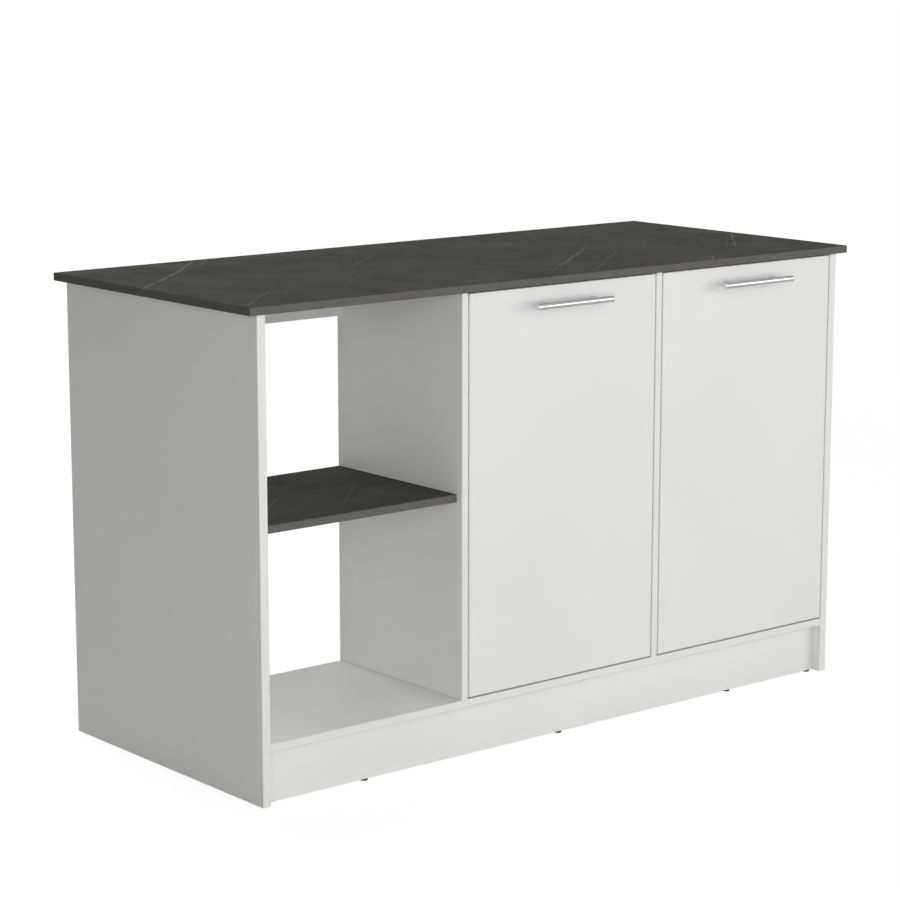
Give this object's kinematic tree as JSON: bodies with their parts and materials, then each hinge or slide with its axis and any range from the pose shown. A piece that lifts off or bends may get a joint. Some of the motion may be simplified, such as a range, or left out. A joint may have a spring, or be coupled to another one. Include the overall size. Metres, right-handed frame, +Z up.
{
  "type": "kitchen island unit",
  "caption": "Freestanding kitchen island: an open shelving bay beside cupboards with inset doors, under a stone-look worktop that overhangs a knee space at the back.",
  "frame": {"origin": "on the floor, under the middle of the overall box, handles included", "axes": "+X to the right seen from the doors' side, +Y from the doors' side to the knee-space side, +Z up"},
  "size_m": [1.5, 0.665, 0.904],
  "materials": {
    "white_board": "matt white melamine on particleboard, edge-banded to match",
    "stone_laminate": "matt charcoal stone-look laminate on particleboard, with a few fine pale veins",
    "handle_steel": "satin steel",
    "nickel_steel": "nickel-plated pressed steel",
    "glide_plastic": "black moulded plastic"
  },
  "bodies": {
    "carcass": {"worktop": "stone_laminate", "open_bay_shelf": "stone_laminate", "left_side_panel": "white_board", "right_side_panel": "white_board", "bay_divider": "white_board", "door_divider": "white_board", "bottom_panel": "white_board", "back_sheet": "white_board", "open_bay_rear_rail": "white_board", "left_cupboard_rear_rail": "white_board", "right_cupboard_rear_rail": "white_board", "left_cupboard_front_stretcher": "white_board", "right_cupboard_front_stretcher": "white_board", "left_cupboard_shelf": "white_board", "right_cupboard_shelf": "white_board", "front_plinth": "white_board", "rear_plinth": "white_board", "front_glide_1": "glide_plastic", "front_glide_2": "glide_plastic", "front_glide_3": "glide_plastic", "front_glide_4": "glide_plastic", "front_glide_5": "glide_plastic", "rear_glide_1": "glide_plastic", "rear_glide_2": "glide_plastic", "rear_glide_3": "glide_plastic", "rear_glide_4": "glide_plastic", "rear_glide_5": "glide_plastic", "left_cupboard_shelf_pin_front_left": "nickel_steel", "left_cupboard_shelf_pin_front_right": "nickel_steel", "left_cupboard_shelf_pin_rear_left": "nickel_steel", "left_cupboard_shelf_pin_rear_right": "nickel_steel", "right_cupboard_shelf_pin_front_left": "nickel_steel", "right_cupboard_shelf_pin_front_right": "nickel_steel", "right_cupboard_shelf_pin_rear_left": "nickel_steel", "right_cupboard_shelf_pin_rear_right": "nickel_steel", "left_door_lower_hinge_arm": "nickel_steel", "left_door_lower_hinge_plate": "nickel_steel", "left_door_upper_hinge_arm": "nickel_steel", "left_door_upper_hinge_plate": "nickel_steel", "right_door_lower_hinge_arm": "nickel_steel", "right_door_lower_hinge_plate": "nickel_steel", "right_door_upper_hinge_arm": "nickel_steel", "right_door_upper_hinge_plate": "nickel_steel"},
    "left_door": {"left_door_panel": "white_board", "left_door_handle_bar": "handle_steel", "left_door_handle_post_hinge_side": "handle_steel", "left_door_handle_post_closing_side": "handle_steel", "left_door_lower_hinge_cup": "nickel_steel", "left_door_lower_hinge_pin": "nickel_steel", "left_door_upper_hinge_cup": "nickel_steel", "left_door_upper_hinge_pin": "nickel_steel"},
    "right_door": {"right_door_panel": "white_board", "right_door_handle_bar": "handle_steel", "right_door_handle_post_hinge_side": "handle_steel", "right_door_handle_post_closing_side": "handle_steel", "right_door_lower_hinge_cup": "nickel_steel", "right_door_lower_hinge_pin": "nickel_steel", "right_door_upper_hinge_cup": "nickel_steel", "right_door_upper_hinge_pin": "nickel_steel"}
  },
  "joints": [
    {"name": "left_door_hinge", "type": "hinge", "parent": "carcass", "child": "left_door", "pos_m": [-0.232, -0.289, 0.504], "axis": [0, 0, -1], "range_deg": [0, 95]},
    {"name": "right_door_hinge", "type": "hinge", "parent": "carcass", "child": "right_door", "pos_m": [0.687, -0.289, 0.504], "axis": [0, 0, 1], "range_deg": [0, 95]}
  ]
}
